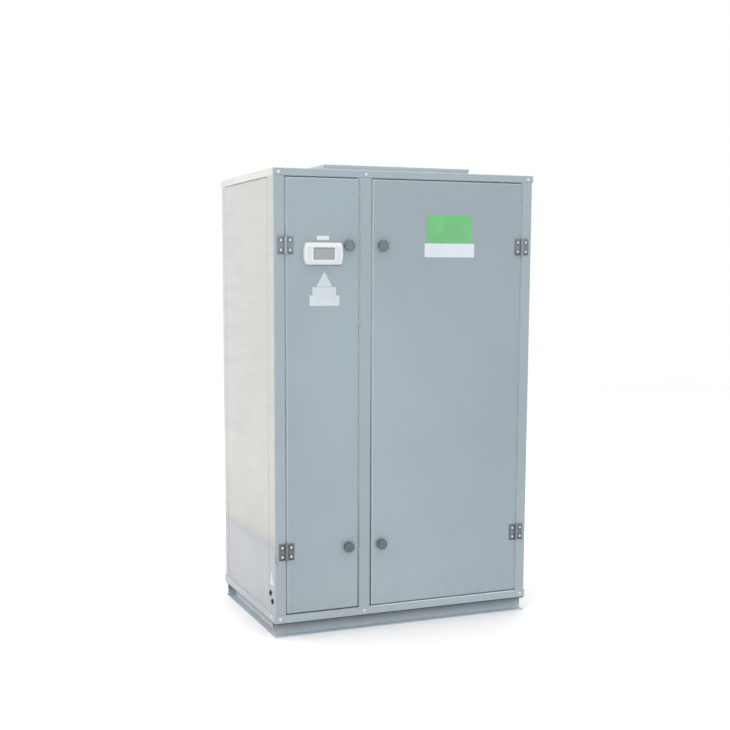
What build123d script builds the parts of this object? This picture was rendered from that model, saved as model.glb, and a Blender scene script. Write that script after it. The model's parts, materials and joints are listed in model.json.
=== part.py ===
from build123d import *
import os

# Computer room air conditioner: a steel cabinet on a channel plinth, with two doors in front.
# Units are millimetres. The origin is on the floor under the middle of the cabinet,
# X runs along the front, Y from the front to the back, and Z up.

os.makedirs("parts", exist_ok=True)

# Cabinet
cabinet_width = 1200.0
cabinet_depth = 750.0
cabinet_height = 1950.0
sheet = 2.0
bend_radius = 3.0
corner_radius = 6.0
overrun = 5.0

# Plinth of steel channel, set back a little under the cabinet
channel_height = 63.0
channel_flange = 40.0
channel_wall = 4.8
channel_root_radius = 4.0
plinth_setback = 3.0

# Frame of folded sheet
top_rail_face = 30.0
bottom_rail_face = 35.0
rail_flange = 40.0
ledge_drop = 8.0
ledge_width = 20.0
stop_lip = 18.0
post_face = 50.0
centre_post_face = 50.0
centre_post_from_left = 407.5
side_setback = 3.0
front_post_side = 82.0
rear_post_side = 57.0

# Gaps round the doors and the panels
hinge_side_gap = 5.0
top_gap = 5.0
free_side_gap = 6.4
bottom_gap = 5.0
panel_gap = 3.0
roof_gap = 3.0
running_clearance = 0.3
fit_clearance = 0.05
lining_clearance = 0.2

# Doors and panels
door_depth = 22.0
door_edge_radius = 3.5
pan_return = 18.0
seal_thickness = 4.0
seal_width = 12.0
seal_inset = 3.0

# Roof collar and floor opening
collar_width = 678.0
collar_length = 540.0
collar_height = 28.0
collar_band_height = 12.0
collar_band_proud = 2.5
collar_foot = 20.0
floor_opening_width = 640.0
floor_opening_length = 440.0
floor_rim_height = 20.0

# Hinges
hinge_width = 66.0
hinge_height = 70.0
hinge_leaf = 5.0
hinge_edge = 1.5
barrel_radius = 6.5
barrel_clearance = 0.8
knuckle_gap = 0.5
pin_radius = 3.0
pin_proud = 0.8
fitting_spread = 636.0
fitting_drop = 3.0

# Latches
knob_from_post_centre = 76.0
knob_foot_radius = 20.0
knob_foot_height = 4.0
knob_grip_radius = 23.5
knob_grip_height = 15.0
knob_edge = 2.5
grip_bar_width = 8.0
grip_bar_length = 30.0
grip_bar_height = 2.0
spindle_radius = 7.0
spindle_room = 3.0
spindle_square = 9.8
cam_gap = 5.0
cam_thickness = 3.0
cam_width = 24.0
cam_tip_width = 20.0
cam_reach = 52.0
nut_radius = 11.0
nut_thickness = 5.0

# Display terminal on the left door
display_width = 170.0
display_height = 90.0
display_proud = 18.0
display_bow = 7.0
display_corner_radius = 5.5
display_edge = 3.0
display_below_door_top = 306.5
window_width = 94.0
window_height = 50.0
window_depth = 3.0
screen_thickness = 2.0
keypad_width = 22.0
keypad_height = 58.0
keypad_thickness = 1.0
keypad_depth = 1.0
keypad_gap = 6.0

# Cable grommets on the left front post, as distances from the front and from the floor
grommet_radius = 12.0
grommet_bore = 8.0
grommet_proud = 3.0
grommet_lip = 1.5
upper_grommet_from_front = 64.0
upper_grommet_from_floor = 183.0
lower_grommet_from_front = 40.0
lower_grommet_from_floor = 152.0

# Planes and places worked out from the sizes above
half_width = cabinet_width / 2
half_depth = cabinet_depth / 2
front = -half_depth
rail_low = channel_height
opening_low = channel_height + bottom_rail_face
opening_high = cabinet_height - top_rail_face
door_low = opening_low + bottom_gap
door_high = opening_high - top_gap
door_middle = (door_low + door_high) / 2
door_height = door_high - door_low
stop_depth = door_depth + seal_thickness + running_clearance
panel_depth = stop_depth - side_setback
centre_post_x = centre_post_from_left - half_width
left_door_low_x = post_face + hinge_side_gap - half_width
left_door_high_x = centre_post_x - centre_post_face / 2 - free_side_gap
right_door_low_x = centre_post_x + centre_post_face / 2 + free_side_gap
right_door_high_x = half_width - post_face - hinge_side_gap
hinge_axis_y = front - barrel_radius - running_clearance
left_hinge_x = left_door_low_x - hinge_side_gap / 2
right_hinge_x = right_door_high_x + hinge_side_gap / 2
fitting_middle = door_middle - fitting_drop
fitting_heights = (fitting_middle - fitting_spread, fitting_middle + fitting_spread)
cam_front = stop_depth + sheet + cam_gap


def write(part, name):
    """Labels a finished piece and writes it to its file."""
    part.label = name
    export_step(part, f"parts/{name}.step")


def folded(points, radii, side):
    """The section of a sheet folded along the points, each bend with its own outer radius."""
    with BuildSketch() as section:
        with BuildLine():
            FilletPolyline(*points, radius=radii)
            offset(amount=sheet, side=side, kind=Kind.INTERSECTION)
        make_face()
    return section.sketch


def block(low, high):
    """A plain box between two corners, for use inside a part."""
    size = [b - a for a, b in zip(low, high)]
    middle = [(a + b) / 2 for a, b in zip(low, high)]
    with BuildPart() as box:
        with Locations(tuple(middle)):
            Box(*size)
    return box.part


# Plinth: the long channels run the full width and the short ones stand between them
def channel(length):
    """A channel lying along X about the origin, open towards -Y, with its web at the back."""
    with BuildPart() as bar:
        with BuildSketch(Plane.YZ.offset(-length / 2)):
            with BuildLine():
                Polyline(
                    (-channel_flange, 0),
                    (0, 0),
                    (0, channel_height),
                    (-channel_flange, channel_height),
                    (-channel_flange, channel_height - channel_wall),
                    (-channel_wall, channel_height - channel_wall),
                    (-channel_wall, channel_wall),
                    (-channel_flange, channel_wall),
                    close=True,
                )
            make_face()
        extrude(amount=length)
        inner = bar.edges().filter_by(Axis.X).filter_by_position(
            Axis.Y, -channel_wall - channel_wall / 2, -channel_wall / 2
        )
        fillet(inner, radius=channel_root_radius)
    return bar.part


plinth_width = cabinet_width - 2 * plinth_setback
plinth_depth = cabinet_depth - 2 * plinth_setback
web_back = plinth_depth / 2 - channel_flange

with BuildPart() as long_base_channels:
    with Locations((0, -web_back, 0)):
        add(channel(plinth_width))
    mirror(about=Plane.XZ)
write(long_base_channels.part, "long_base_channels")

with BuildPart() as short_base_channels:
    with Locations(Location((channel_flange + plinth_setback - half_width, 0, 0), (0, 0, -90))):
        add(channel(2 * web_back))
    mirror(about=Plane.YZ)
write(short_base_channels.part, "short_base_channels")


# Rails: one folded section with a stop lip for doors and panels, mitred at the corners
def top_rail_section():
    stop = stop_depth + sheet
    ledge = top_rail_face - ledge_drop
    return folded(
        [
            (stop, -stop_lip),
            (stop, 0),
            (0, 0),
            (0, top_rail_face),
            (rail_flange, top_rail_face),
            (rail_flange, ledge),
            (rail_flange + ledge_width, ledge),
        ],
        [0, bend_radius, bend_radius, 0, 0],
        Side.RIGHT,
    )


def bottom_rail_section():
    stop = stop_depth + sheet
    return folded(
        [
            (stop, bottom_rail_face + stop_lip),
            (stop, bottom_rail_face),
            (0, bottom_rail_face),
            (0, 0),
            (rail_flange + ledge_width, 0),
        ],
        [0, bend_radius, bend_radius],
        Side.LEFT,
    )


def mitred_rail(section, length, low):
    """A rail along X, its outer face at Y = 0 and its length at that face, mitred at both ends."""
    with BuildPart() as rail:
        with BuildSketch(Plane.YZ.offset(-length / 2)):
            with Locations((0, low)):
                add(section)
        extrude(amount=length)
        split(bisect_by=Plane((length / 2, 0, 0), z_dir=(1, 1, 0)), keep=Keep.BOTTOM)
        split(bisect_by=Plane((-length / 2, 0, 0), z_dir=(-1, 1, 0)), keep=Keep.BOTTOM)
    return rail.part


for level, section, low in (
    ("top", top_rail_section(), opening_high),
    ("bottom", bottom_rail_section(), rail_low),
):
    with BuildPart() as front_rail:
        with Locations((0, front, 0)):
            add(mitred_rail(section, cabinet_width, low))
    write(front_rail.part, f"{level}_front_rail")

    with BuildPart() as rear_rail:
        with Locations(Location((0, half_depth, 0), (0, 0, 180))):
            add(mitred_rail(section, cabinet_width, low))
    write(rear_rail.part, f"{level}_rear_rail")

    with BuildPart() as side_rails:
        with Locations(Location((-half_width, 0, 0), (0, 0, -90))):
            add(mitred_rail(section, cabinet_depth, low))
        mirror(about=Plane.YZ)
    write(side_rails.part, f"{level}_side_rails")


# Posts: each corner post is one folded sheet with a stop lip on both of its sides
def corner_section(side_x, side_y, setback_y, side_width):
    """The section of a corner post; side_x and side_y are -1 or 1 and choose the corner."""
    points = [
        (post_face + stop_lip, stop_depth),
        (post_face, stop_depth),
        (post_face, setback_y),
        (side_setback, setback_y),
        (side_setback, side_width),
        (stop_depth, side_width),
        (stop_depth, side_width + stop_lip),
    ]
    placed = [(side_x * (half_width - u), side_y * (half_depth - v)) for u, v in points]
    radii = [0, bend_radius, corner_radius, bend_radius, 0]
    return folded(placed, radii, Side.RIGHT if side_x == side_y else Side.LEFT)


def flat_post_section(middle_x, side_y, setback_y, face):
    """A hat section between two doors or panels, with a stop lip on each side."""
    points = [
        (-face / 2 - stop_lip, stop_depth),
        (-face / 2, stop_depth),
        (-face / 2, setback_y),
        (face / 2, setback_y),
        (face / 2, stop_depth),
        (face / 2 + stop_lip, stop_depth),
    ]
    placed = [(middle_x + u, side_y * (half_depth - v)) for u, v in points]
    radii = [0, bend_radius, bend_radius, 0]
    return folded(placed, radii, Side.LEFT if side_y < 0 else Side.RIGHT)


def post_piece(*sections):
    """Posts of the given sections, standing between the bottom and the top rails."""
    with BuildPart() as post:
        with BuildSketch(Plane.XY.offset(opening_low)):
            for section in sections:
                add(section)
        extrude(amount=opening_high - opening_low)
    return post.part


grommet_places = (
    (upper_grommet_from_front, upper_grommet_from_floor),
    (lower_grommet_from_front, lower_grommet_from_floor),
)

with BuildPart() as front_left_post:
    add(post_piece(corner_section(-1, -1, 0, front_post_side)))
    with BuildSketch(Plane.YZ.offset(-half_width)):
        with Locations(*[(front + y, z) for y, z in grommet_places]):
            Circle(grommet_radius - grommet_lip)
    extrude(amount=side_setback + sheet + overrun, mode=Mode.SUBTRACT)
write(front_left_post.part, "front_left_post")

front_right_post = post_piece(corner_section(1, -1, 0, front_post_side))
write(front_right_post, "front_right_post")

centre_post = post_piece(flat_post_section(centre_post_x, -1, 0, centre_post_face))
write(centre_post, "centre_post")

rear_posts = post_piece(
    corner_section(-1, 1, side_setback, rear_post_side),
    corner_section(1, 1, side_setback, rear_post_side),
    flat_post_section(0, 1, side_setback, centre_post_face),
)
write(rear_posts, "rear_posts")


# Panels and doors: folded pans with a lining board inside
def pan(width, height, depth):
    """A folded pan with its front face on the XZ plane about the origin and a return at the back."""
    with BuildPart() as tray:
        with Locations((0, depth / 2, 0)):
            Box(width, depth, height)
        fillet(tray.faces().sort_by(Axis.Y)[0].edges(), radius=door_edge_radius)
        with Locations((0, depth / 2, 0)):
            Box(width - 2 * sheet, depth - 2 * sheet, height - 2 * sheet, mode=Mode.SUBTRACT)
        with Locations((0, depth, 0)):
            Box(width - 2 * pan_return, depth, height - 2 * pan_return, mode=Mode.SUBTRACT)
    return tray.part


def lining(width, height, depth):
    """The lining board inside such a pan, between its front sheet and its return."""
    with BuildPart() as board:
        with Locations((0, depth / 2, 0)):
            Box(
                width - 2 * (sheet + lining_clearance),
                depth - 2 * sheet,
                height - 2 * (sheet + lining_clearance),
            )
    return board.part


side_panel_front = front + front_post_side + panel_gap
side_panel_back = half_depth - rear_post_side - panel_gap
side_panel_width = side_panel_back - side_panel_front
side_panel_y = (side_panel_front + side_panel_back) / 2
panel_low = opening_low + panel_gap
panel_high = opening_high - panel_gap
panel_height = panel_high - panel_low
panel_middle = (panel_low + panel_high) / 2
left_wall = Location((side_setback - half_width, side_panel_y, panel_middle), (0, 0, -90))
right_wall = Location((half_width - side_setback, side_panel_y, panel_middle), (0, 0, 90))

with BuildPart() as left_side_panel:
    with Locations(left_wall):
        add(pan(side_panel_width, panel_height, panel_depth))
write(left_side_panel.part, "left_side_panel")

with BuildPart() as right_side_panel:
    with Locations(right_wall):
        add(pan(side_panel_width, panel_height, panel_depth))
write(right_side_panel.part, "right_side_panel")

with BuildPart() as side_linings:
    with Locations(left_wall, right_wall):
        add(lining(side_panel_width, panel_height, panel_depth))
write(side_linings.part, "side_linings")

rear_panel_low = centre_post_face / 2 + panel_gap
rear_panel_width = half_width - post_face - panel_gap - rear_panel_low
rear_panel_x = rear_panel_low + rear_panel_width / 2
rear_walls = [
    Location((side * rear_panel_x, half_depth - side_setback, panel_middle), (0, 0, 180))
    for side in (-1, 1)
]

with BuildPart() as rear_panels:
    with Locations(*rear_walls):
        add(pan(rear_panel_width, panel_height, panel_depth))
write(rear_panels.part, "rear_panels")

with BuildPart() as rear_linings:
    with Locations(*rear_walls):
        add(lining(rear_panel_width, panel_height, panel_depth))
write(rear_linings.part, "rear_linings")

# Roof: a shallow pan on the rail ledges, with the duct opening inside the collar
roof_width = cabinet_width - 2 * (rail_flange + roof_gap)
roof_length = cabinet_depth - 2 * (rail_flange + roof_gap)
duct_width = collar_width - 2 * (collar_band_proud + sheet)
duct_length = collar_length - 2 * (collar_band_proud + sheet)

with BuildPart() as roof_panel:
    with BuildSketch(Plane.XY.offset(cabinet_height - ledge_drop)):
        Rectangle(roof_width, roof_length)
    extrude(amount=ledge_drop)
    with BuildSketch(Plane.XY.offset(cabinet_height - ledge_drop)):
        Rectangle(roof_width - 2 * sheet, roof_length - 2 * sheet)
    extrude(amount=ledge_drop - sheet, mode=Mode.SUBTRACT)
    with BuildSketch(Plane.XY.offset(cabinet_height + overrun)):
        Rectangle(duct_width, duct_length)
    extrude(amount=-ledge_drop - 2 * overrun, mode=Mode.SUBTRACT)
write(roof_panel.part, "roof_panel")

with BuildPart() as roof_collar:
    with BuildSketch(Plane.XY.offset(cabinet_height)):
        Rectangle(
            duct_width + 2 * (sheet + collar_foot), duct_length + 2 * (sheet + collar_foot)
        )
    extrude(amount=sheet)
    with BuildSketch(Plane.XY.offset(cabinet_height)):
        Rectangle(duct_width + 2 * sheet, duct_length + 2 * sheet)
    extrude(amount=collar_height)
    with BuildSketch(Plane.XY.offset(cabinet_height + collar_height - collar_band_height)):
        Rectangle(collar_width, collar_length)
    extrude(amount=collar_band_height)
    with BuildSketch(Plane.XY.offset(cabinet_height - overrun)):
        Rectangle(duct_width, duct_length)
    extrude(amount=collar_height + 2 * overrun, mode=Mode.SUBTRACT)
write(roof_collar.part, "roof_collar")

# Floor: a sheet on the bottom rails, with a rimmed opening for the supply air
floor_clear = stop_depth + 2 * sheet
with BuildPart() as floor_panel:
    with BuildSketch(Plane.XY.offset(rail_low + sheet)):
        Rectangle(cabinet_width - 2 * floor_clear, cabinet_depth - 2 * floor_clear)
    extrude(amount=sheet)
    with BuildSketch(Plane.XY.offset(rail_low + sheet)):
        Rectangle(floor_opening_width + 2 * sheet, floor_opening_length + 2 * sheet)
    extrude(amount=floor_rim_height)
    with BuildSketch(Plane.XY.offset(rail_low - overrun)):
        Rectangle(floor_opening_width, floor_opening_length)
    extrude(amount=floor_rim_height + 3 * overrun, mode=Mode.SUBTRACT)
write(floor_panel.part, "floor_panel")


# Doors
def door(name, low_x, high_x, knob_x):
    """Writes the skin, the lining and the seal of one door."""
    width = high_x - low_x
    place = Location(((low_x + high_x) / 2, front, door_middle))
    spindle_places = [(knob_x, z) for z in fitting_heights]

    with BuildPart() as skin:
        with Locations(place):
            add(pan(width, door_height, door_depth))
        with BuildSketch(Plane.XZ.offset(-front)):
            with Locations(*spindle_places):
                Circle(spindle_radius + running_clearance)
        extrude(amount=door_depth, both=True, mode=Mode.SUBTRACT)
    write(skin.part, f"{name}_door_skin")

    with BuildPart() as board:
        with Locations(place):
            add(lining(width, door_height, door_depth))
        with BuildSketch(Plane.XZ.offset(-front)):
            with Locations(*spindle_places):
                Rectangle(2 * (spindle_radius + spindle_room), 2 * (spindle_radius + spindle_room))
        extrude(amount=door_depth, both=True, mode=Mode.SUBTRACT)
    write(board.part, f"{name}_door_lining")

    with BuildPart() as seal:
        with BuildSketch(Plane.XZ.offset(-front - door_depth)):
            with Locations(((low_x + high_x) / 2, door_middle)):
                Rectangle(width - 2 * seal_inset, door_height - 2 * seal_inset)
                Rectangle(
                    width - 2 * (seal_inset + seal_width),
                    door_height - 2 * (seal_inset + seal_width),
                    mode=Mode.SUBTRACT,
                )
        extrude(amount=-seal_thickness)
    write(seal.part, f"{name}_door_seal")


left_knob_x = centre_post_x - knob_from_post_centre
right_knob_x = centre_post_x + knob_from_post_centre
door("left", left_door_low_x, left_door_high_x, left_knob_x)
door("right", right_door_low_x, right_door_high_x, right_knob_x)

# Hinges: the frame leaf carries the two outer knuckles and the door leaf the middle one
knuckle = (hinge_height - 2 * knuckle_gap) / 3
axis_proud = barrel_radius + running_clearance
leaf_clear = barrel_radius + barrel_clearance


def hinge_leaf_piece(side, spans):
    """One leaf on side -1 or 1 of the pin, with knuckles on the given spans of height."""
    with BuildPart() as leaf:
        with BuildSketch(Plane.XZ.offset(-axis_proud)):
            with Locations((side * (leaf_clear + hinge_width / 2) / 2, 0)):
                Rectangle(hinge_width / 2 - leaf_clear, hinge_height)
        extrude(amount=hinge_leaf)
        rim = leaf.faces().sort_by(Axis.Y)[0].edges()
        inner_edge = rim.sort_by(Axis.X)[0 if side > 0 else -1]
        chamfer([edge for edge in rim if edge != inner_edge], length=hinge_edge)
        for low, high in spans:
            near, far = sorted((0, side * (leaf_clear + hinge_edge)))
            add(block((near, axis_proud - hinge_leaf, low), (far, axis_proud, high)))
            with BuildSketch(Plane.XY.offset(low)):
                Circle(barrel_radius)
            extrude(amount=high - low)
        with BuildSketch(Plane.XY.offset(-hinge_height)):
            Circle(pin_radius + fit_clearance)
        extrude(amount=2 * hinge_height, mode=Mode.SUBTRACT)
    return leaf.part


outer_spans = [
    (-hinge_height / 2, -hinge_height / 2 + knuckle),
    (hinge_height / 2 - knuckle, hinge_height / 2),
]
middle_span = [(-knuckle / 2, knuckle / 2)]

for name, hinge_x, door_side in (("left", left_hinge_x, 1), ("right", right_hinge_x, -1)):
    places = [(hinge_x, hinge_axis_y, z) for z in fitting_heights]

    with BuildPart() as frame_leaves:
        with Locations(*places):
            add(hinge_leaf_piece(-door_side, outer_spans))
    write(frame_leaves.part, f"{name}_hinge_frame_leaves")

    with BuildPart() as door_leaves:
        with Locations(*places):
            add(hinge_leaf_piece(door_side, middle_span))
    write(door_leaves.part, f"{name}_hinge_door_leaves")

    with BuildPart() as pins:
        with Locations(*places):
            Cylinder(pin_radius, hinge_height + 2 * pin_proud)
    write(pins.part, f"{name}_hinge_pins")


# Latches: a knob with its spindle in front of the door, and a cam behind it
def knob_piece():
    """A knob on the Y axis: round foot, eight-sided grip, raised bar and square-ended spindle."""
    with BuildPart() as knob:
        with BuildSketch(Plane.XZ.offset(running_clearance)):
            Circle(knob_foot_radius)
        extrude(amount=knob_foot_height)
        grip_foot = running_clearance + knob_foot_height
        with BuildSketch(Plane.XZ.offset(grip_foot)):
            RegularPolygon(knob_grip_radius, 8, rotation=22.5)
        extrude(amount=knob_grip_height)
        chamfer(knob.faces().sort_by(Axis.Y)[0].edges(), length=knob_edge)
        with BuildSketch(Plane.XZ.offset(grip_foot + knob_grip_height)):
            Rectangle(grip_bar_width, grip_bar_length)
        extrude(amount=grip_bar_height)
        with BuildSketch(Plane.XZ.offset(running_clearance)):
            Circle(spindle_radius)
        extrude(amount=-cam_front - running_clearance)
        with BuildSketch(Plane.XZ.offset(-cam_front)):
            Rectangle(spindle_square, spindle_square)
        extrude(amount=-cam_thickness)
    return knob.part


def cam_piece():
    """A cam hanging from the spindle's square end, tapered to a round tip, with its cap nut."""
    with BuildPart() as cam:
        with BuildSketch(Plane.XZ.offset(-cam_front)):
            Circle(cam_width / 2)
            with BuildLine():
                Line((-cam_width / 2, 0), (cam_width / 2, 0))
                Line((cam_width / 2, 0), (cam_tip_width / 2, -cam_reach))
                ThreePointArc(
                    (cam_tip_width / 2, -cam_reach),
                    (0, -cam_reach - cam_tip_width / 2),
                    (-cam_tip_width / 2, -cam_reach),
                )
                Line((-cam_tip_width / 2, -cam_reach), (-cam_width / 2, 0))
            make_face()
            Rectangle(
                spindle_square + 2 * fit_clearance,
                spindle_square + 2 * fit_clearance,
                mode=Mode.SUBTRACT,
            )
        extrude(amount=-cam_thickness)
        with BuildSketch(Plane.XZ.offset(-cam_front - cam_thickness)):
            RegularPolygon(nut_radius, 6)
        extrude(amount=-nut_thickness)
    return cam.part


for name, x in (("left", left_knob_x), ("right", right_knob_x)):
    for level, z in zip(("lower", "upper"), fitting_heights):
        with BuildPart() as knob:
            with Locations((x, front, z)):
                add(knob_piece())
        write(knob.part, f"{name}_{level}_knob")

        with BuildPart() as cam:
            with Locations((x, front, z)):
                add(cam_piece())
        write(cam.part, f"{name}_{level}_cam")

# Display terminal: a housing with bowed ends, a sunk screen and two keypads
display_x = (left_door_low_x + left_door_high_x) / 2
display_z = door_high - display_below_door_top
keypad_x = window_width / 2 + keypad_gap + keypad_width / 2

display_plane = Plane(origin=(display_x, front, display_z), x_dir=(1, 0, 0), z_dir=(0, -1, 0))

with BuildPart() as display_housing:
    with BuildSketch(display_plane):
        with BuildLine():
            low_x, high_x = display_bow - display_width / 2, display_width / 2 - display_bow
            low_z, high_z = -display_height / 2, display_height / 2
            Line((low_x, low_z), (high_x, low_z))
            ThreePointArc((high_x, low_z), (display_width / 2, 0), (high_x, high_z))
            Line((high_x, high_z), (low_x, high_z))
            ThreePointArc((low_x, high_z), (-display_width / 2, 0), (low_x, low_z))
        make_face()
    extrude(amount=display_proud)
    fillet(display_housing.edges().filter_by(Axis.Y), radius=display_corner_radius)
    chamfer(display_housing.faces().sort_by(Axis.Y)[0].edges(), length=display_edge)
    with BuildSketch(display_plane.offset(display_proud)):
        Rectangle(window_width, window_height)
    extrude(amount=-window_depth, mode=Mode.SUBTRACT)
    with BuildSketch(display_plane.offset(display_proud)):
        with Locations((-keypad_x, 0), (keypad_x, 0)):
            Rectangle(keypad_width, keypad_height)
    extrude(amount=-keypad_depth, mode=Mode.SUBTRACT)
write(display_housing.part, "display_housing")

with BuildPart() as display_screen:
    with BuildSketch(display_plane.offset(display_proud - window_depth)):
        Rectangle(window_width - 2 * lining_clearance, window_height - 2 * lining_clearance)
    extrude(amount=screen_thickness)
write(display_screen.part, "display_screen")

with BuildPart() as display_keypads:
    with BuildSketch(display_plane.offset(display_proud - keypad_depth)):
        with Locations((-keypad_x, 0), (keypad_x, 0)):
            Rectangle(keypad_width - 2 * lining_clearance, keypad_height - 2 * lining_clearance)
    extrude(amount=keypad_thickness)
write(display_keypads.part, "display_keypads")

# Cable grommets: rubber rings seated in holes of the post's side
post_side = side_setback - half_width
with BuildPart() as cable_grommets:
    with BuildSketch(Plane.YZ.offset(post_side - grommet_proud)):
        with Locations(*[(front + y, z) for y, z in grommet_places]):
            Circle(grommet_radius)
    extrude(amount=grommet_proud)
    with BuildSketch(Plane.YZ.offset(post_side)):
        with Locations(*[(front + y, z) for y, z in grommet_places]):
            Circle(grommet_radius - grommet_lip)
    extrude(amount=sheet + grommet_proud)
    with BuildSketch(Plane.YZ.offset(post_side - grommet_proud)):
        with Locations(*[(front + y, z) for y, z in grommet_places]):
            Circle(grommet_bore)
    extrude(amount=sheet + 2 * grommet_proud, mode=Mode.SUBTRACT)
write(cable_grommets.part, "cable_grommets")
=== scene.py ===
import json
import math
from functools import partialmethod

import bpy
import numpy as np
from bpy.props import FloatProperty, FloatVectorProperty, IntProperty, PointerProperty
from bpy.types import Operator, Panel, PropertyGroup
from mathutils import Euler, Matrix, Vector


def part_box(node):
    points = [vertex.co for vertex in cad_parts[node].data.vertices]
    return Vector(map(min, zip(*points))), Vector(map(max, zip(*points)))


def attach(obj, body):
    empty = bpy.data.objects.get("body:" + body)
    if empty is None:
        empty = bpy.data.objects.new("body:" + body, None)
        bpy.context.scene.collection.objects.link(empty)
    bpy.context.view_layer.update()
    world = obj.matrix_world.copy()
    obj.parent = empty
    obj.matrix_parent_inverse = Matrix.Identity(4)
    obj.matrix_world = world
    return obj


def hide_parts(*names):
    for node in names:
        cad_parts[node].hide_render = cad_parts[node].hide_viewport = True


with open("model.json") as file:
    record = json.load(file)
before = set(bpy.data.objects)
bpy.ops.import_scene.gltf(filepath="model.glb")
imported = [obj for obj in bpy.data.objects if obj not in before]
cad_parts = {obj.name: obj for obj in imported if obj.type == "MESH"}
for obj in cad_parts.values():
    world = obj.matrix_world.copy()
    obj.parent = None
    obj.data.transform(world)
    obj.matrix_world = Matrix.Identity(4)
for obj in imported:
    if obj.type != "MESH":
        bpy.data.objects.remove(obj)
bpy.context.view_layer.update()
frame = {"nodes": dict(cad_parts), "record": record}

bl_info = {
    "name": "Computer room air conditioner looks",
    "version": (1, 0, 0),
    "blender": (4, 5, 0),
    "location": "View3D > Sidebar > Cabinet",
    "description": "Finishes and small fittings for a packed computer room air conditioner",
    "category": "Object",
}

NODES = frame["nodes"]
SIDES = ("left", "right")
LEVELS = ("lower", "upper")
LATCHES = tuple((side, level) for side in SIDES for level in LEVELS)
MILLIMETRE = 0.001


def node_centre(name):
    """The middle of a CAD node's box, in metres."""
    low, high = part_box(name)
    return (low + high) / 2


# Places read from the frame, in metres
CABINET_LOW, CABINET_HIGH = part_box("top_side_rails")
LEFT_FACE, RIGHT_FACE = CABINET_LOW.x, CABINET_HIGH.x
FRONT_FACE, BACK_FACE = CABINET_LOW.y, CABINET_HIGH.y
LEFT_POST_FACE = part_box("front_left_post")[0].x
DISPLAY_LOW, DISPLAY_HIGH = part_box("display_housing")
DISPLAY_CENTRE = (DISPLAY_LOW + DISPLAY_HIGH) / 2
HINGE_X = {side: node_centre(f"{side}_hinge_pins").x for side in SIDES}
KNOB_CENTRE = {latch: node_centre("{}_{}_knob".format(*latch)) for latch in LATCHES}
FITTING_HEIGHTS = tuple(KNOB_CENTRE["left", level].z for level in LEVELS)
OPENING_LOW, OPENING_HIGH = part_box("centre_post")
OPENING_MIDDLE = (OPENING_LOW.z + OPENING_HIGH.z) / 2
OPENING_HALF = (OPENING_HIGH.z - OPENING_LOW.z) / 2
PANEL_LOW, PANEL_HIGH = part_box("left_side_panel")
NARROW_LOW, NARROW_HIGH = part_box("left_door_skin")
WIDE_LOW, WIDE_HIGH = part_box("right_door_skin")

# Boxes that masks are made from, each as its centre and its half size. The gaps and the
# sill get painted light, and the strip under the display gets a painted shadow.
DOOR_GAPS = (
    (0.0, FRONT_FACE + 0.0143, OPENING_MIDDLE + 0.005),
    (RIGHT_FACE - 0.049, 0.0103, OPENING_HALF - 0.004),
)
SIDE_GAPS = (
    (LEFT_FACE + 0.018, (PANEL_LOW.y + PANEL_HIGH.y) / 2, OPENING_MIDDLE),
    (0.013, (PANEL_HIGH.y - PANEL_LOW.y) / 2 + 0.006, OPENING_HALF + 0.001),
)
SILL_GAP = (
    ((WIDE_LOW.x + WIDE_HIGH.x) / 2, FRONT_FACE + 0.012, WIDE_LOW.z - 0.004),
    ((WIDE_HIGH.x - WIDE_LOW.x) / 2, 0.013, 0.0045),
)
# A painted shadow under the display
DISPLAY_SHADE = (
    (DISPLAY_CENTRE.x + 0.001, FRONT_FACE, DISPLAY_LOW.z - 0.0025),
    ((DISPLAY_HIGH.x - DISPLAY_LOW.x) / 2 - 0.007, 0.003, 0.0022),
)
POST_SCUFF = ((LEFT_POST_FACE, FRONT_FACE, 0.337), (0.005, 0.008, 0.018))
# The door gaps whose painted light gives way to painted shade downwards: the place of each along X,
# how far, and from what height
DEEP_GAPS = (
    (NARROW_LOW.x - 0.0025, 0.10, 0.50),
    (NARROW_HIGH.x + 0.0032, 0.50, 0.65),
    (WIDE_LOW.x - 0.0032, 1.0, 1.30),
)
DEEP_GAP_FOOT = 0.15
# Width of the painted highlight along the lit edges
SKIN_EDGE = 0.0045

# The left side's painted light and reflections: the lower zone of the reflection, faint
# reflected level lines and the tints of the side light
LOW_REFLECTION_HEIGHT = 0.405
LOW_REFLECTION_SHARE = 0.875
REFLECTED_LINE_SPACING = 0.078
SIDE_LIGHT_TINTS = ((1.07, 0.955, 0.870), (1.165, 1.025, 0.930), (1.160, 1.030, 0.855))
LOW_REFLECTION_TINTS = tuple(tint / LOW_REFLECTION_SHARE for tint in (0.905, 0.835, 0.845))
# Tints of the painted light in the gaps and on the sill, of dust, and of rubbed marks and painted
# shadow
GAP_LIGHT_TINT = (0.95, 1.0, 1.0)
SILL_LIGHT_TINT = (0.54, 0.62, 0.67)
DUST = (0.50, 0.50, 0.47)
SCUFF_AND_SHADE = (0.13, 0.14, 0.14)

# Painted light and shade: factors of the lower and the upper hinge of each side, and of the latch
# knobs
HINGE_LIGHT_FACTORS = {"left": (0.84, 1.42), "right": (1.04, 1.16)}
KNOB_LIGHT_FACTORS = dict(zip(LATCHES, (0.90, 1.0, 0.93, 0.90)))

# Shading rows are painted light and shade: two heights and the factors at each. Reflection tints
# are a painted reflection: two places along X and the factors of red, green and blue at each.
TOP_RAIL_FOOT = (1.914, 1.916)
RAIL_SHADING = ((0.090, 0.110, 1.09, 1.0), (*TOP_RAIL_FOOT, 1.0, 1.03))
WIDE_SHADING = ((0.9, 1.8, 1.01, 0.94),)
NARROW_REFLECTION_TINT = (-0.55, -0.30, (0.962, 0.952, 0.960), (1.032, 1.030, 1.030))
WIDE_REFLECTION_TINT = (-0.12, 0.46, (1.052, 1.048, 1.046), (0.948, 0.930, 0.968))


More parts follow.
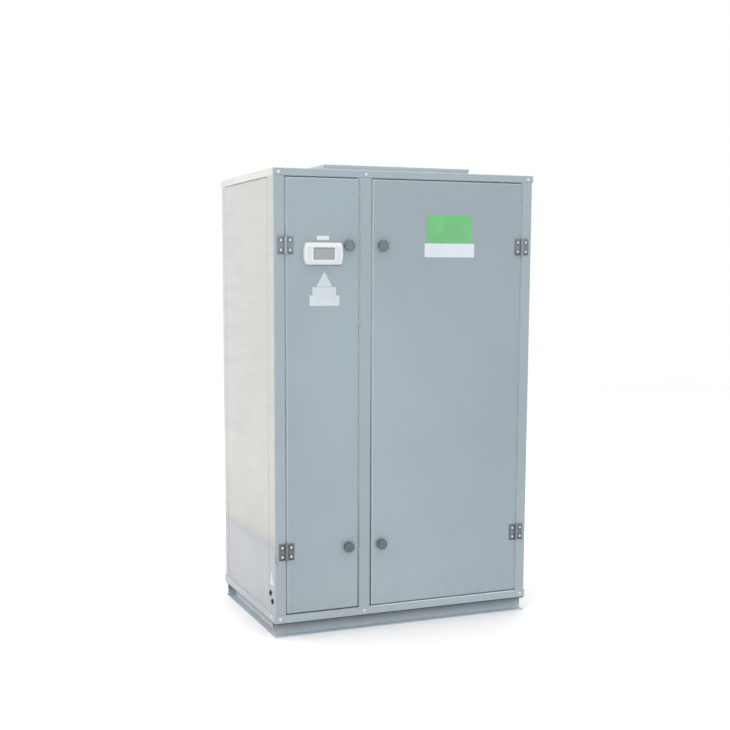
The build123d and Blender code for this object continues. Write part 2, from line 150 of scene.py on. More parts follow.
def lit_edges(node):
    """The left and the top edge of a skin or a post, where a highlight is painted, as boxes of
    centre and half size.
    """
    low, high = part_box(node)
    y, half = FRONT_FACE, SKIN_EDGE / 2
    return (
        ((low.x + half, y, (low.z + high.z) / 2), (half, 0.004, (high.z - low.z) / 2)),
        (((low.x + high.x) / 2, y, high.z - half), ((high.x - low.x) / 2, 0.004, half)),
    )


# Surfaces. Each one is an array of points [piece, ring, step round the ring, xyz] in metres.
def mesh_object(name, points, faces):
    """Makes one mesh object from points and a list of arrays of faces."""
    mesh = bpy.data.meshes.new(name)
    mesh.from_pydata(points.reshape(-1, 3).tolist(), [], sum([f.tolist() for f in faces], []))
    mesh.update()
    piece = bpy.data.objects.new(name, mesh)
    bpy.context.scene.collection.objects.link(piece)
    return piece


def shell(name, rings, smooth_degrees=35.0, looped=False):
    """Joins rings of points into closed shells.

    Vertex (i, r, u) is point u of ring r of shell i. Neighbouring rings are joined by four-sided
    faces and each ring closes on itself. The first and the last ring are closed by a fan to
    their middle, unless the rings themselves form a loop. The signed volume of all the faces
    is summed, and the faces are turned round where it is negative.
    """
    count, ring_count, around, _ = rings.shape
    points = rings.reshape(-1, 3)
    here = np.arange(len(points)).reshape(count, ring_count, around)
    along = np.roll(here, -1, axis=2)
    quads = np.stack([here, along, np.roll(along, -1, axis=1), np.roll(here, -1, axis=1)], axis=-1)
    faces = [quads[:, :ring_count if looped else -1].reshape(-1, 4)]
    if not looped:
        middles = rings[:, [0, -1]].mean(axis=2).reshape(-1, 3)
        middle = len(points) + np.arange(len(middles)).reshape(count, 2, 1)
        points = np.concatenate([points, middles])
        for end, a, b in ((0, along, here), (1, here, along)):
            a, b = a[:, -end], b[:, -end]
            faces.append(np.stack([a, b, middle[:, end] + 0 * a], axis=-1).reshape(-1, 3))
    volume = sum(
        np.einsum("ij,ij->", points[f[:, 0]], np.cross(points[f[:, k]], points[f[:, k + 1]]))
        for f in faces for k in range(1, f.shape[1] - 1)
    )
    if volume < 0:
        faces = [f[:, ::-1] for f in faces]
    piece = mesh_object(name, points, faces)
    piece.data.shade_smooth()
    piece.data.set_sharp_from_angle(angle=math.radians(smooth_degrees))
    return piece


# The way outwards along X and Y at each face of the cabinet
OUTWARD = {"front": (0, -1), "back": (0, 1), "left": (-1, 0), "right": (1, 0)}


def placed(local, centres, facing):
    """Places local points (across, up, proud) of one shape at each centre: centre + sum of the
    local values times the three directions of that face of the cabinet."""
    x, y = OUTWARD[facing]
    basis = np.array([(-y, x, 0), (0, 0, 1), (x, y, 0)], float)
    return np.asarray(centres, float)[:, None, None, :] + (local @ basis)


def turned(profile, around):
    """Carries a profile of (radius, proud) round an axis: point (r, u) is radius[r] times the
    cosine and the sine of angle u, and proud[r]."""
    radius, proud = np.asarray(profile, float).T[:, :, None]
    angle = np.linspace(0, 2 * np.pi, around, endpoint=False)
    return np.stack(
        [radius * np.cos(angle), radius * np.sin(angle), proud + 0 * angle], axis=-1
    )


def arc(centre_radius, centre_proud, size, start_degrees, end_degrees, steps):
    """Points of a quarter round for a turned profile, as (radius, proud) rows."""
    angle = np.radians(np.linspace(start_degrees, end_degrees, steps))
    return np.stack(
        [centre_radius + size * np.cos(angle), centre_proud + size * np.sin(angle)], axis=-1
    )


def bar_mask(values, half, soft):
    """1 inside a band of the given half width and 0 outside, with a soft step between."""
    return np.clip((half - np.abs(values)) / soft + 0.5, 0, 1)


def screw_heads(name, centres, facing, radius, height, random):
    """Dome heads with a cross recess.

    The proud value at radius r is height times the root of 1 - (r / radius) squared, above a
    short straight rim, less the recess depth where the point lies in one of two crossed bars.
    Each head is turned by its own random angle.
    """
    around, rim = 40, 0.22 * height
    share = np.concatenate([[1, 1], np.cos(np.linspace(0.15, np.pi / 2 - 0.03, 15))])
    dome = turned(np.stack([share * radius, 0 * share], axis=-1), around)
    proud = rim + (height - rim) * np.sqrt(np.clip(1 - share**2, 0, 1))
    proud[0] = 0
    cross_half, cross_reach, soft = 0.13 * radius, 0.55 * radius, 0.08 * radius
    across, up = dome[..., 0], dome[..., 1]
    cross = np.maximum(
        bar_mask(across, cross_half, soft) * bar_mask(up, cross_reach, soft),
        bar_mask(up, cross_half, soft) * bar_mask(across, cross_reach, soft),
    )
    dome[..., 2] = proud[:, None] - 0.45 * height * cross * (share < 0.9)[:, None]
    heads = []
    for centre, turn in zip(centres, random.uniform(0, np.pi / 2, len(centres))):
        c, s = math.cos(turn), math.sin(turn)
        spin = np.array([[c, s, 0], [-s, c, 0], [0, 0, 1]])
        heads.append(placed(dome @ spin, [centre], facing)[0])
    return shell(name, np.stack(heads), 50)


def rounded_outline(corners, radius, between=0):
    """An outline with round corners: at each corner an arc of the given radius that touches both
    of its sides. It starts square to the side before the corner, and turns by the angle between
    the two sides. Points between one arc's end and the next arc's start divide that side evenly.
    Corner points run anticlockwise; the result is rows of (across, up)."""
    corners = np.asarray(corners, float)
    before = corners - np.roll(corners, 1, axis=0)
    after = np.roll(corners, -1, axis=0) - corners
    before /= np.linalg.norm(before, axis=1)[:, None]
    after /= np.linalg.norm(after, axis=1)[:, None]
    turn = np.arccos(np.clip((before * after).sum(axis=1), -1, 1))
    inward = after - before
    inward /= np.linalg.norm(inward, axis=1)[:, None]
    centre = corners + inward * (radius / np.cos(turn / 2))[:, None]
    start = np.arctan2(-before[:, 0], before[:, 1])
    angle = start[:, None] + turn[:, None] * np.linspace(0, 1, 7)
    arcs = centre[:, None] + radius * np.stack([np.cos(angle), np.sin(angle)], axis=-1)
    share = (np.arange(between) + 1)[:, None] / (between + 1)
    ends, starts = arcs[:, -1:], np.roll(arcs, -1, axis=0)[:, :1]
    return np.concatenate([arcs, ends + (starts - ends) * share], axis=1).reshape(-1, 2)


def rectangle_outline(width, height, radius, between=0):
    """A rectangle about the origin with round corners."""
    w, h = width / 2, height / 2
    return rounded_outline([(-w, -h), (w, -h), (w, h), (-w, h)], radius, between)


def scaled_inward(outline, inset):
    """Moves an outline towards its middle by an inset, by scaling each direction on its own."""
    return outline * (1 - inset / np.abs(outline).max(axis=0))


def stacked(rings):
    """Puts flat rings at their heights: rows of (outline, proud) become one array."""
    return np.stack([
        np.concatenate([flat, np.full((len(flat), 1), proud)], axis=1) for flat, proud in rings
    ])


def plate_rings(outline, thickness, edge):
    """A flat plate with a rounded rim: rings of the outline go up the rim, over a quarter round
    of the given size and in over the face, each ring moved inward by its own inset."""
    angle = np.linspace(0, np.pi / 2, 5)
    insets = np.concatenate([[0], edge * (1 - np.cos(angle)), [3 * edge]])
    prouds = np.concatenate([[0], thickness - edge * (1 - np.sin(angle)), [thickness]])
    return stacked([(scaled_inward(outline, i), p) for i, p in zip(insets, prouds)])


def plate(name, outline, thickness, centre, facing="front"):
    """One plate or label, its back on the surface at the centre."""
    rings = plate_rings(outline, thickness, 0.45 * thickness)
    return shell(name, placed(rings, [centre], facing), 25)


def toned(colour, factor):
    """A colour made lighter or darker by a factor, or by one for each of red, green and blue."""
    return tuple(np.minimum(np.multiply(tuple(colour)[:3], factor), 1.0).tolist())


# Finishes
class Finish:
    """A material with a principled shader, whose patterns lie on Object coordinates."""

    def __init__(self, name, colour, roughness, metallic=0.0, coat=0.0, specular=0.5):
        self.material = bpy.data.materials.new(name)
        self.material.use_nodes = True
        self.tree = self.material.node_tree
        self.tree.nodes.clear()
        self.colour = tuple(colour)[:3]
        self.material.diffuse_color = (*self.colour, 1)
        self.shader = self.node("BsdfPrincipled", {
            "Base Color": (*self.colour, 1), "Roughness": roughness, "Metallic": metallic,
            "Coat Weight": coat, "Specular IOR Level": specular,
        })
        self.node("OutputMaterial", {"Surface": self.shader.outputs[0]})
        self.place = self.node("TexCoord").outputs["Object"]

    def node(self, kind, inputs=(), **settings):
        """Adds a node with its settings, and with a value or a link on each named input."""
        node = self.tree.nodes.new("ShaderNode" + kind)
        for setting, value in settings.items():
            setattr(node, setting, value)
        for socket, value in dict(inputs).items():
            self.put(value, node.inputs[socket])
        return node

    def put(self, value, target):
        if isinstance(value, bpy.types.NodeSocket):
            self.tree.links.new(value, target)
        else:
            target.default_value = value

    def set(self, socket, value):
        self.put(value, self.shader.inputs[socket])

    def stretched(self, *scale):
        """The coordinates with each direction scaled, for drawn-out patterns."""
        return self.node("Mapping", {"Vector": self.place, "Scale": scale}).outputs[0]

    def axis(self, name):
        return self.node("SeparateXYZ", {0: self.place}).outputs[name]

    def noise(self, per_metre, detail, roughness=0.5, place=None):
        return self.node("TexNoise", {
            "Vector": place or self.place, "Scale": per_metre, "Detail": detail,
            "Roughness": roughness,
        }).outputs[0]

    def cells(self, per_metre):
        return self.node("TexVoronoi", {"Vector": self.place, "Scale": per_metre}).outputs[0]

    def spread(self, value, low, high, to_low=0.0, to_high=1.0):
        """A value carried from one range to another, and held at both ends."""
        numbers = enumerate((value, low, high, to_low, to_high))
        return self.node("MapRange", numbers, clamp=True).outputs[0]

    def patches(self, per_metre, detail, low, high, to_low=0.0, to_high=1.0, **noise):
        """Noise spread between two of its levels."""
        return self.spread(self.noise(per_metre, detail, **noise), low, high, to_low, to_high)

    def maths(self, kind, first, *others):
        """The named operation, carried on from the first value through the others."""
        for other in others or (0.0,):
            first = self.node("Math", {0: first, 1: other}, operation=kind).outputs[0]
        return first

    times = partialmethod(maths, "MULTIPLY")
    plus = partialmethod(maths, "ADD")
    less = partialmethod(maths, "SUBTRACT")
    larger = partialmethod(maths, "MAXIMUM")
    size_of = partialmethod(maths, "ABSOLUTE")

    def away(self, axis, place):
        """The distance from a place along an axis."""
        return self.size_of(self.less(self.axis(axis), place))

    def near(self, centre, half, soft):
        """1 inside a box about a centre and 0 outside; half and soft are in metres."""
        return self.times(*(
            self.spread(self.away(axis, middle), reach, reach + soft, 1, 0)
            for axis, middle, reach in zip("XYZ", centre, half)
        ))

    def blend(self, factor, a, b):
        """The colour a where the factor is 0, and b where it is 1."""
        a, b = (v if isinstance(v, bpy.types.NodeSocket) else (*v, 1) for v in (a, b))
        inputs = {0: factor, 6: a, 7: b}
        return self.node("Mix", inputs, data_type="RGBA", clamp_factor=True).outputs[2]

    def between(self, factor, low, high):
        """The finish's own colour, between two of its tones."""
        return self.blend(factor, toned(self.colour, low), toned(self.colour, high))

    def scaled(self, tone, factor):
        """A colour made lighter or darker by a factor that may change from place to place."""
        return self.node("VectorMath", {0: tone, "Scale": factor}, operation="SCALE").outputs[0]

    def tinted(self, tone, factors):
        """A colour with its red, green and blue each multiplied by a factor."""
        return self.node("VectorMath", {0: tone, 1: factors}, operation="MULTIPLY").outputs[0]

    def bump(self, height, strength, distance, normal=None):
        inputs = {"Height": height, "Strength": strength, "Distance": distance}
        return self.node("Bump", inputs | ({"Normal": normal} if normal else {})).outputs[0]

    def worn_edges(self, radius, *patches, **noise):
        """The normal of edges rounded by a small radius, and a mask of where they are worn, which
        is where that normal leaves the face's own and the given patches reach."""
        rounded = self.node("Bevel", {"Radius": radius}, samples=4).outputs[0]
        face = self.node("NewGeometry").outputs["Normal"]
        dot = self.node("VectorMath", {0: rounded, 1: face}, operation="DOT_PRODUCT")
        edge = self.spread(dot.outputs["Value"], 0.995, 0.93)
        return rounded, self.times(edge, self.patches(*patches, **noise))

    def done(self, tone, gloss=None, grain=None, normal=None):
        """Sets the colour. Gloss is noise and the two values that the roughness wanders between;
        grain is noise and the strength and depth of its bumps."""
        self.set("Base Color", tone)
        if gloss:
            self.set("Roughness", self.patches(*gloss[:2], 0.3, 0.7, *gloss[2:]))
        if grain:
            self.set("Normal", self.bump(self.noise(*grain[:2]), *grain[2:], normal))
        return self.material


def painted_light_in_gaps(finish, tone, height):
    """Painted light in the gaps round the doors and the side panels and on the sill under the
    wide door, which lightens their shade. In some door gaps it gives way to painted shade
    downwards."""
    gaps = finish.larger(finish.near(*DOOR_GAPS, 0.001), finish.near(*SIDE_GAPS, 0.001))
    gaps = finish.times(gaps, looks().gap_painted_light)
    # Painted shade: the light painted in some door gaps fades out downwards
    for place, share, top in DEEP_GAPS:
        deep_shade = finish.times(
            finish.spread(height, DEEP_GAP_FOOT, top, share, 0.0),
            finish.spread(finish.away("X", place), 0.006, 0.007, 1, 0),
        )
        gaps = finish.times(gaps, finish.less(1.0, deep_shade))
    tone = finish.blend(gaps, tone, GAP_LIGHT_TINT)
    return finish.blend(finish.near(*SILL_GAP, 0.0005), tone, SILL_LIGHT_TINT)


def painted_side_light(finish, tone, height, left, bands, clouds, side_tint_share):
    """Painted warm side light tints the left side, more so high up and towards the front, in bands
    of painted reflection. Below a soft dark line of painted reflection it is duller and bluer.
    Faint level lines of painted reflection cross it, and the top rail above its foot is painted
    lighter."""
    side_tint_reach = finish.plus(
        finish.spread(finish.axis("Y"), FRONT_FACE, BACK_FACE * 0.7, 0.75, 0.0),
        finish.spread(height, 0.45, 1.0, 0.55, 0.0),
    )
    banded = finish.between(bands, *SIDE_LIGHT_TINTS[:2])
    side_tint = finish.blend(
        finish.times(side_tint_reach, side_tint_share), banded, toned(finish.colour, SIDE_LIGHT_TINTS[2])
    )
    tone = finish.blend(left, tone, side_tint)
    # Painted reflection and light: duller low down, a soft dark line, and lighter above the top
    # rail's foot
    fade = finish.times(
        finish.spread(height, 0.42, 0.72, LOW_REFLECTION_SHARE, 1.0),
        finish.spread(finish.away("Z", LOW_REFLECTION_HEIGHT - 0.020), 0.008, 0.040, 0.885, 1.0),
        finish.spread(height, *TOP_RAIL_FOOT, 1.0, 1.28),
    )
    # Faint level lines of painted reflection
    step = finish.maths("FRACT", finish.maths("DIVIDE", height, REFLECTED_LINE_SPACING))
    step = finish.size_of(finish.less(step, 0.5))
    reflected_lines = finish.times(
        finish.spread(step, 0.03, 0.10, 1, 0), finish.spread(clouds, 0.40, 0.60, 0.010, 0.035)
    )
    # A duller, bluer painted reflection below its lower edge
    low = finish.spread(height, LOW_REFLECTION_HEIGHT - 0.025, LOW_REFLECTION_HEIGHT + 0.025, 1, 0)
    tone = finish.blend(finish.times(left, low), tone, toned(finish.colour, LOW_REFLECTION_TINTS))
    change = finish.times(finish.less(fade, reflected_lines, 1.0), left)
    return finish.scaled(tone, finish.plus(change, 1.0))


def powder_coat(
    name, colour, scuffs_and_shade=(), shading=(), bright_edges=(), side_tint_share=1.0, reflection_tint=None
):
    """Satin powder coat: orange peel, slow waves of the sheet, dust low down and worn edges, with
    painted light, shade and reflection.

    Bright_edges are boxes of painted highlight on rounded edges, and the scuff boxes hold dark
    rubbed marks and painted shadow. Shading is rows of two heights and the two factors that the
    tone changes between, as painted light and shade. The tint that changes along X is a painted
    reflection, and weakens upwards.
    """
    look = looks()
    finish = Finish(name, colour, look.paint_roughness)
    base, height = finish.colour, finish.axis("Z")
    clouds = finish.noise(1.7, 3)
    tone = finish.between(finish.spread(clouds, 0.35, 0.65), 0.965, 1.03)
    tone = finish.blend(finish.patches(900, 1, 0.62, 0.75, 0, 0.25), tone, toned(base, 0.82))
    dust = finish.times(
        finish.spread(height, 0.0, 0.34, look.dust, 0.0),
        finish.patches(26, 6, 0.38, 0.66, roughness=0.62),
    )
    # Dust low down, then painted light in the gaps and on the sill
    tone = painted_light_in_gaps(finish, finish.blend(dust, tone, DUST), height)
    # Painted highlight on the lit edges
    for centre, half in bright_edges:
        tone = finish.blend(finish.near(centre, half, 0.0005), tone, toned(base, 1.25))

    left = finish.spread(finish.axis("X"), LEFT_FACE + 0.003, LEFT_FACE + 0.006, 1, 0)
    # Level bands: painted reflection on the left side, which also add to the sheet's waves
    bands = finish.patches(22, 1, 0.34, 0.50, place=finish.stretched(1, 0.12, 1))
    tone = painted_side_light(finish, tone, height, left, bands, clouds, side_tint_share)
    rounded, worn = finish.worn_edges(
        look.edge_softness, 48, 5, 0.44, 0.66, 0, look.edge_wear, roughness=0.6
    )
    tone = finish.blend(worn, tone, toned(base, 1.35))
    # Dark rubbed marks, and the painted shadow under the display
    for centre, half in scuffs_and_shade:
        rub_and_shade = finish.patches(210, 4, 0.40, 0.58, place=finish.stretched(1, 1, 0.35))
        rub_and_shade = finish.times(finish.near(centre, half, min(0.004, min(half))), rub_and_shade, 0.6)
        tone = finish.blend(rub_and_shade, tone, SCUFF_AND_SHADE)
    # A painted reflection tints the coat along X, weaker upwards
    if reflection_tint:
        left_end, right_end, *tints = reflection_tint
        tint = finish.blend(finish.spread(finish.axis("X"), left_end, right_end), *tints)
        strength = finish.spread(height, 0.9, 1.7, 1.0, 0.4)
        tone = finish.tinted(tone, finish.blend(strength, (1.0, 1.0, 1.0), tint))
    # Painted light and shade by height
    for row in shading:
        tone = finish.scaled(tone, finish.spread(height, *row))

    gloss = look.paint_roughness
    smudges = finish.patches(5.5, 4, 0.3, 0.7, gloss - 0.05, gloss + 0.06, roughness=0.6)
    finish.set("Roughness", smudges)
    waves = finish.noise(2.6, 1, place=finish.stretched(1, 1, 1.9))
    waves = finish.plus(waves, finish.times(left, bands, 0.06))
    normal = finish.bump(waves, look.sheet_waviness, 0.010, rounded)
    return finish.done(tone, grain=(1 / look.orange_peel, 2, 0.10, 0.0004), normal=normal)


def insulation_board(name, colour):
    """Dark bonded insulation: open pores with painted shade in them, a slow mottle and a soft matt
    surface.
    """
    finish = Finish(name, colour, 0.93, specular=0.2)
    tone = finish.between(finish.patches(14, 4, 0.3, 0.7), 0.85, 1.12)
    pores = finish.cells(420)
    finish.set("Normal", finish.bump(pores, 0.5, 0.0012))
    # Painted shade in the pores
    deep_shade = finish.spread(pores, 0.12, 0.3, 0.55, 0)
    return finish.done(finish.blend(deep_shade, tone, (0.02, 0.02, 0.02)))


def rubber(name, colour, dusty):
    """Matt extruded rubber with a fine grain and a trace of dust."""
    finish = Finish(name, colour, 0.7, specular=0.35)
    dust = finish.patches(60, 5, 0.48, 0.72, 0, dusty, roughness=0.65)
    tone = finish.blend(dust, finish.colour, (0.16, 0.16, 0.155))
    return finish.done(tone, (240, 2, 0.6, 0.8), (1300, 2, 0.25, 0.0003))


def hinge_casting(name, colour, axis_x, low, high, light_factors):
    """Zinc casting: a grained leaf with painted shade along its lower rim, round its screws and
    beside the barrel, and a painted highlight on the barrel. Low and high are the corners of the
    hinges' box, and the last argument holds the painted light factors of the lower and the upper
    hinge."""
    finish = Finish(name, colour, 0.5, metallic=0.2)
    size, height, away = sizes(), finish.axis("Z"), finish.away("X", axis_x)
    grain = finish.patches(380, 4, 0.3, 0.7, roughness=0.6)
    half = max(high.x - axis_x, axis_x - low.x)
    # Painted shade: along the leaf's outer rim and beside the barrel, then below and above each
    # leaf and round its screws
    dirt_and_shade = finish.larger(
        finish.spread(away, half - 0.0040, half - 0.0025, 0, 0.30),
        finish.spread(away, 0.0085, 0.0105, 0.95, 0),
    )
    across = finish.less(away, size.hinge_spread_x / 2)
    for middle in FITTING_HEIGHTS:
        up = finish.less(height, middle)
        far = finish.size_of(up)
        rise = finish.less(far, size.hinge_spread_z / 2)
        squares = finish.plus(finish.times(across, across), finish.times(rise, rise))
        marks = finish.larger(
            finish.spread(up, -0.0280, -0.0310, 0, 1),
            finish.spread(up, 0.0315, 0.0330, 0, 0.45),
            finish.spread(finish.maths("SQRT", squares), 0.0080, 0.0120, 0.80, 0),
        )
        dirt_and_shade = finish.larger(dirt_and_shade, finish.times(marks, finish.spread(far, 0.036, 0.037, 1, 0)))
    # The painted shade is weaker on the upper hinge
    dirt_and_shade = finish.times(dirt_and_shade, finish.spread(height, *FITTING_HEIGHTS, 0.92, 0.72))
    tone = finish.blend(dirt_and_shade, finish.between(grain, 0.75, 1.25), toned(finish.colour, 0.30))
    # Painted highlight on the barrel, stronger on the upper hinge
    rubbed = finish.between(finish.spread(height, *FITTING_HEIGHTS), 1.12, 1.30)
    tone = finish.blend(finish.spread(away, 0.0060, 0.0070, 1, 0), tone, rubbed)
    # Painted light: each hinge scaled by its own factor
    tone = finish.scaled(tone, finish.spread(height, *FITTING_HEIGHTS, *light_factors))
    rounded, worn = finish.worn_edges(0.0008, 160, 4, 0.42, 0.62, 0, 0.75)
    finish.set("Roughness", finish.spread(grain, 0, 1, 0.42, 0.6))
    tone = finish.blend(worn, tone, (0.42, 0.44, 0.45))
    return finish.done(tone, grain=(850, 3, 0.2, 0.0003), normal=rounded)


def plated_steel(name, colour, roughness, brushed=(1, 1, 1)):
    """Zinc plated steel: crystal patches, drawn lines and slightly dull spots."""
    finish = Finish(name, colour, roughness, metallic=1.0)
    tone = finish.between(finish.cells(300), 0.88, 1.05)
    dull = finish.patches(130, 5, 0.5, 0.75, 0, 0.5, roughness=0.65)
    lines = finish.noise(1500, 2, place=finish.stretched(*brushed))
    finish.set("Roughness", finish.spread(lines, 0.3, 0.7, roughness - 0.07, roughness + 0.12))
    finish.set("Normal", finish.bump(lines, 0.12, 0.0002))
    return finish.done(finish.blend(dull, tone, toned(finish.colour, 0.62)))


def screw_paint(name, colour):
    """Pale screw heads: glossy, with a little grime in random patches."""
    finish = Finish(name, colour, 0.25, metallic=0.15, coat=0.3)
    dirt_and_shade = finish.patches(420, 4, 0.52, 0.72, 0, 0.45, roughness=0.6)
    tone = finish.blend(dirt_and_shade, finish.colour, (0.42, 0.42, 0.40))
    return finish.done(tone, grain=(900, 2, 0.12, 0.0002))


def knob_plastic(name, colour):
    """Moulded knob: spark-eroded grain, and a cap with painted light, lighter in its middle and
    darker on its rim and sides.
    """
    finish = Finish(name, colour, 0.5, specular=0.45)
    # Painted light: the middle of the cap lighter, its rim and sides darker
    cap_light = finish.node("Attribute", attribute_name="cap_light_share").outputs["Fac"]
    cap_light = finish.spread(cap_light, 0.0, 1.0, 0.82, 1.0)
    mottle = finish.patches(120, 3, 0.3, 0.7, 0.88, 1.12)
    tone = finish.scaled(finish.colour, finish.times(mottle, cap_light))
    rounded, worn = finish.worn_edges(0.0009, 260, 3, 0.4, 0.65, 0, looks().edge_wear)
    tone = finish.blend(worn, tone, toned(finish.colour, 2.2))
    return finish.done(tone, (30, 3, 0.42, 0.58), (1400, 2, 0.3, 0.0003), rounded)


def display_plastic(name, colour, roughness):
    """White moulded plastic: faint flow marks, very fine texture and dust in patches. Painted
    shade makes it a little dimmer along the display's lower edge."""
    finish = Finish(name, colour, roughness)
    flow = finish.patches(18, 3, 0.3, 0.7, place=finish.stretched(1, 1, 2.5))
    grime = finish.patches(70, 5, 0.6, 0.8, 0, 0.18, roughness=0.6)
    tone = finish.blend(grime, finish.between(flow, 0.975, 1.0), (0.62, 0.62, 0.58))
    foot = DISPLAY_LOW.z
    # Painted shade along the lower edge
    tone = finish.scaled(tone, finish.spread(finish.axis("Z"), foot + 0.012, foot + 0.022, 0.87))
    gloss = (44, 3, roughness - 0.05, roughness + 0.08)
    return finish.done(tone, gloss, (1600, 1, 0.12, 0.0002))


def liquid_crystal(name, colour):
    """A blank display behind a clear cover: a grey-green layer with a fine dot grid that is
    darker towards its top and left edges, where the frame shades it."""
    finish = Finish(name, colour, 0.32, coat=0.25)
    low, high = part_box("display_screen")
    tone = finish.between(finish.patches(34, 2, 0.35, 0.65), 0.95, (0.96, 1.04, 1.0))
    for mask, dark in (
        (finish.spread(finish.axis("Z"), high.z - 0.010, high.z, 0, 0.65), 0.45),
        (finish.spread(finish.axis("X"), low.x, low.x + 0.008, 0.5, 0), 0.5),
        (finish.spread(finish.cells(2400), 0.1, 0.5, 0.12, 0), 0.6),
    ):
        tone = finish.blend(mask, tone, toned(finish.colour, dark))
    return finish.done(tone, (90, 3, 0.28, 0.4), (20, 2, 0.1, 0.0004))


def label_film(name, colour, roughness, fade=0.06):
    """Printed film: slight fading, tiny air bubbles under it and a soft sheen."""
    finish = Finish(name, colour, roughness)
    tone = finish.between(finish.patches(9, 4, 0.3, 0.7), 1 - fade, 1 + fade)
    specks = finish.patches(320, 4, 0.6, 0.78, 0, 0.22, roughness=0.6)
    tone = finish.blend(specks, tone, toned(finish.colour, 0.7))
    bubbles = finish.spread(finish.cells(130), 0.0, 0.22, 1, 0)
    finish.set("Normal", finish.bump(bubbles, 0.12, 0.0003))
    return finish.done(tone, (50, 3, roughness - 0.06, roughness + 0.08))


def dress(node_names, material):
    """Puts a finish on CAD nodes."""
    for name in node_names:
        slots = NODES[name].material_slots
        if not slots:
            NODES[name].data.materials.append(material)
        for slot in slots:
            slot.material = material


def fitted(piece, material, body):
    """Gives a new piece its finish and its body."""
    piece.data.materials.append(material)
    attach(piece, body)


# Settings
def colour_setting(name, description, default):
    return FloatVectorProperty(
        name=name, description=description, default=default, subtype="COLOR", size=3,
        min=0.0, max=1.0,
    )


def length_setting(name, description, default_mm):
    return FloatProperty(
        name=name, description=description, default=default_mm * MILLIMETRE, min=0.0,
        unit="LENGTH", subtype="DISTANCE", precision=5,
    )


def share_setting(name, description, default, low=0.0, high=1.0):
    return FloatProperty(
        name=name, description=description, default=default, min=low, max=high, subtype="FACTOR",
    )


def power_setting(name, description, default):
    return FloatProperty(
        name=name, description=description, default=default, min=0.0, unit="POWER",
    )


class CabinetLooks(PropertyGroup):
    """Colours and surface qualities."""

    paint: colour_setting("Paint", "Coat of the frame and the panels", (0.312, 0.376, 0.412))
    door_paint: colour_setting("Door paint", "Powder coat of the doors", (0.304, 0.370, 0.408))
    plinth_paint: colour_setting("Plinth paint", "Paint of the channels", (0.345, 0.410, 0.455))
    collar_paint: colour_setting("Collar paint", "Coat of the roof collar", (0.430, 0.480, 0.515))
    lining: colour_setting("Lining", "Insulation board inside the doors", (0.085, 0.088, 0.090))
    seal: colour_setting("Seal", "Rubber of the door seals", (0.045, 0.046, 0.048))
    hinge: colour_setting("Hinge", "Casting of the hinge leaves", (0.162, 0.189, 0.206))
    steel: colour_setting("Steel", "Zinc plated pins and cams", (0.62, 0.62, 0.61))
    hinge_screws: colour_setting("Hinge screws", "Bright hinge screws", (0.67, 0.72, 0.76))
    frame_screws: colour_setting("Frame screws", "Pale screws of the frame", (0.74, 0.76, 0.77))
    # The lower knobs' darker plastic is painted shade
    upper_knob: colour_setting("Upper knob", "Plastic of the upper knobs", (0.163, 0.211, 0.226))
    lower_knob: colour_setting("Lower knob", "Plastic of the lower knobs", (0.133, 0.158, 0.188))
    housing: colour_setting("Display housing", "Plastic of the display", (0.735, 0.775, 0.795))
    keypad: colour_setting("Keypad", "Membrane beside the screen", (0.640, 0.668, 0.682))
    screen: colour_setting("Screen", "Blank liquid crystal layer", (0.318, 0.350, 0.362))
    white_label: colour_setting("White labels", "Blank white plates", (0.570, 0.628, 0.662))
    side_label: colour_setting("Side label", "Blank label on the side", (0.47, 0.50, 0.53))
    tag: colour_setting("Tag", "Small tag above the display", (0.640, 0.737, 0.722))
    green_plate: colour_setting("Green plate", "Blank green plate", (0.148, 0.462, 0.185))
    strip: colour_setting("White strip", "Strip under the green plate", (0.645, 0.685, 0.745))
    grommet: colour_setting("Grommet", "Rubber of the cable grommets", (0.012, 0.013, 0.015))
    paint_roughness: share_setting("Paint roughness", "Roughness of the coat", 0.33, 0.06, 0.9)
    sheet_waviness: share_setting("Sheet waviness", "Strength of the sheet's slow waves", 0.16)
    orange_peel: length_setting("Orange peel", "Width of the coat's small waves", 2.4)
    edge_softness: length_setting("Edge softness", "Radius that edges of sheet appear to have", 0.9)
    # Strength of the painted light in the gaps
    gap_painted_light: share_setting("Gap brightness", "How bright the sheet in the gaps is", 1.0)
    edge_wear: share_setting("Edge wear", "How far the edges are rubbed", 0.3)
    dust: share_setting("Dust", "Dust on the lower part of the cabinet", 0.22)


class FittingSizes(PropertyGroup):
    """Sizes of the small pieces."""

    screw_radius: length_setting("Frame screw radius", "Radius of the frame's screw heads", 6.0)
    screw_height: length_setting("Frame screw height", "Height of the frame's screw heads", 2.8)
    side_inset: length_setting("Screw inset", "Frame screws from the side faces", 24.5)
    top_drop: length_setting("Top screw drop", "Upper frame screws below the roof", 16)
    bottom_rise: length_setting("Bottom screw height", "Lower frame screws above the floor", 81)
    hinge_screw_radius: length_setting("Hinge screw radius", "Radius of the hinge screws", 6.0)
    hinge_screw_height: length_setting("Hinge screw height", "Height of the hinge screws", 2.4)
    hinge_spread_x: length_setting("Hinge screws across", "Their spacing over both leaves", 38.5)
    hinge_spread_z: length_setting("Hinge screws up", "Their spacing on one leaf", 39.5)
    boss_radius: length_setting("Hinge boss radius", "Raised ring round a hinge screw", 8.2)
    plate_thickness: length_setting("Plate thickness", "Thickness of the glued plates", 0.9)
    label_thickness: length_setting("Label thickness", "Thickness of labels and tags", 0.45)
    turn_seed: IntProperty(
        name="Screw turn seed", description="Chooses how far each screw is turned", default=7,
        min=0,
    )


